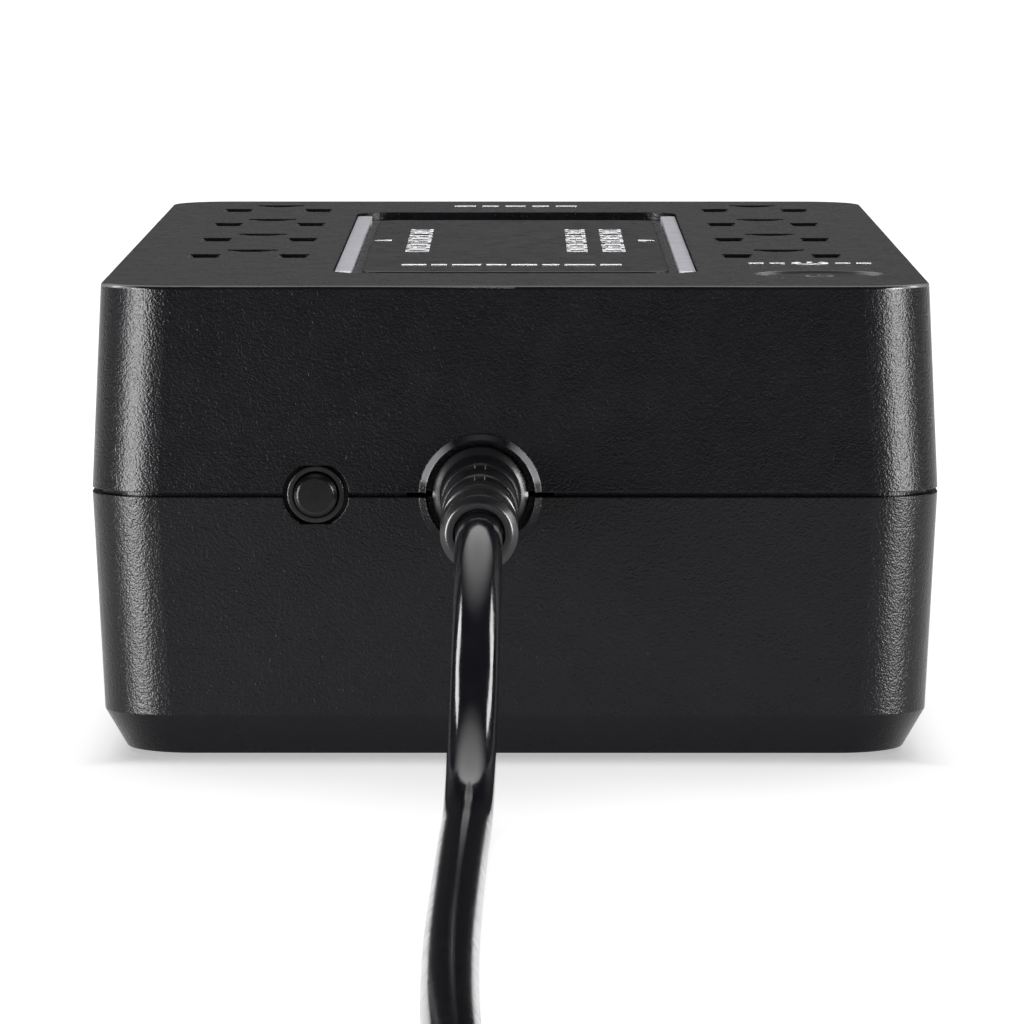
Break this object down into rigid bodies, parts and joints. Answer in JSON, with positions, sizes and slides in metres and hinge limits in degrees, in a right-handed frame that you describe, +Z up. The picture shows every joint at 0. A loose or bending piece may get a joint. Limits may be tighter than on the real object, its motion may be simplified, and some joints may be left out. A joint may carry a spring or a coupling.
{
  "type": "uninterruptible power supply",
  "caption": "Low dark grey desktop backup power box with outlets, a button and a vented panel on its top, a breaker and a corded plug at its front.",
  "frame": {"origin": "middle of the case's outline, on the surface its feet stand on", "axes": "+X to the right, +Y to the back, +Z up; the cord and the breaker face -Y"},
  "size_m": [0.15, 0.6398, 0.0637],
  "materials": {
    "case_upper": "fine grained",
    "case_lower": "fine grained",
    "panel": "smooth satin",
    "trim": "satin metal",
    "button": "satin",
    "feet": "matt",
    "screws": "zinc plated",
    "outlet_block": "moulded",
    "contacts": "stamped",
    "board": "solder mask",
    "ferrite": "sintered",
    "winding": "enamelled wire",
    "relay": "moulded",
    "capacitor": "sleeved",
    "heat_sink": "extruded",
    "semiconductor": "moulded",
    "varistor": "dipped",
    "choke": "coated ring core",
    "fuse": "clear with metal caps",
    "buzzer": "moulded",
    "lamp": "tinted lens",
    "battery_case": "moulded",
    "terminal": "tinned",
    "foam": "foam",
    "breaker": "moulded",
    "breaker_metal": "nickel plated",
    "reset_button": "polished",
    "relief": "moulded vinyl",
    "cord": "smooth vinyl",
    "blade": "nickel plated",
    "wire_line": "vinyl",
    "wire_neutral": "vinyl",
    "wire_ground": "vinyl",
    "wire_positive": "vinyl"
  },
  "bodies": {
    "case": {"upper_case": "case_upper", "lower_case": "case_lower", "rubber_feet": "feet", "case_screws": "screws", "centre_panel": "panel", "left_trim_strip": "trim", "right_trim_strip": "trim", "power_switch": "buzzer", "switch_board": "board", "status_light": "lamp", "outlet_block_screws": "screws", "main_board": "board", "board_screws": "screws", "transformer_core": "ferrite", "transformer_winding": "winding", "transfer_relays": "relay", "bulk_capacitors": "capacitor", "heat_sink": "heat_sink", "power_transistors": "semiconductor", "surge_varistors": "varistor", "filter_choke": "choke", "fuse_link": "fuse", "buzzer": "buzzer", "battery": "battery_case", "battery_terminals": "terminal", "battery_pad": "foam", "breaker_body": "breaker", "breaker_bushing": "breaker_metal", "breaker_tabs": "terminal", "strain_relief": "relief", "cord_tube": "cord", "cord_coil": "cord", "plug_lead": "cord", "plug_body": "relief", "plug_neutral_blade": "blade", "plug_line_blade": "blade", "plug_ground_pin": "blade", "line_wire": "wire_line", "neutral_wire": "wire_neutral", "ground_wire": "wire_ground", "battery_negative_lead": "wire_line", "battery_positive_lead": "wire_positive", "left_outlet_block": "outlet_block", "left_neutral_strip": "contacts", "left_line_strip": "contacts", "left_ground_strip": "contacts", "right_outlet_block": "outlet_block", "right_neutral_strip": "contacts", "right_line_strip": "contacts", "right_ground_strip": "contacts"},
    "power_button": {"power_button": "button", "switch_plunger": "buzzer"},
    "breaker_button": {"breaker_button": "reset_button"}
  },
  "joints": [
    {"name": "power_button_press", "type": "slide", "parent": "case", "child": "power_button", "axis": [0, 0, -1], "range_m": [0, 0.0015], "stiffness_N_per_m": 400, "springref_m": -0.003},
    {"name": "breaker_reset", "type": "slide", "parent": "case", "child": "breaker_button", "axis": [0, -1, 0], "range_m": [0, 0.0028]}
  ]
}
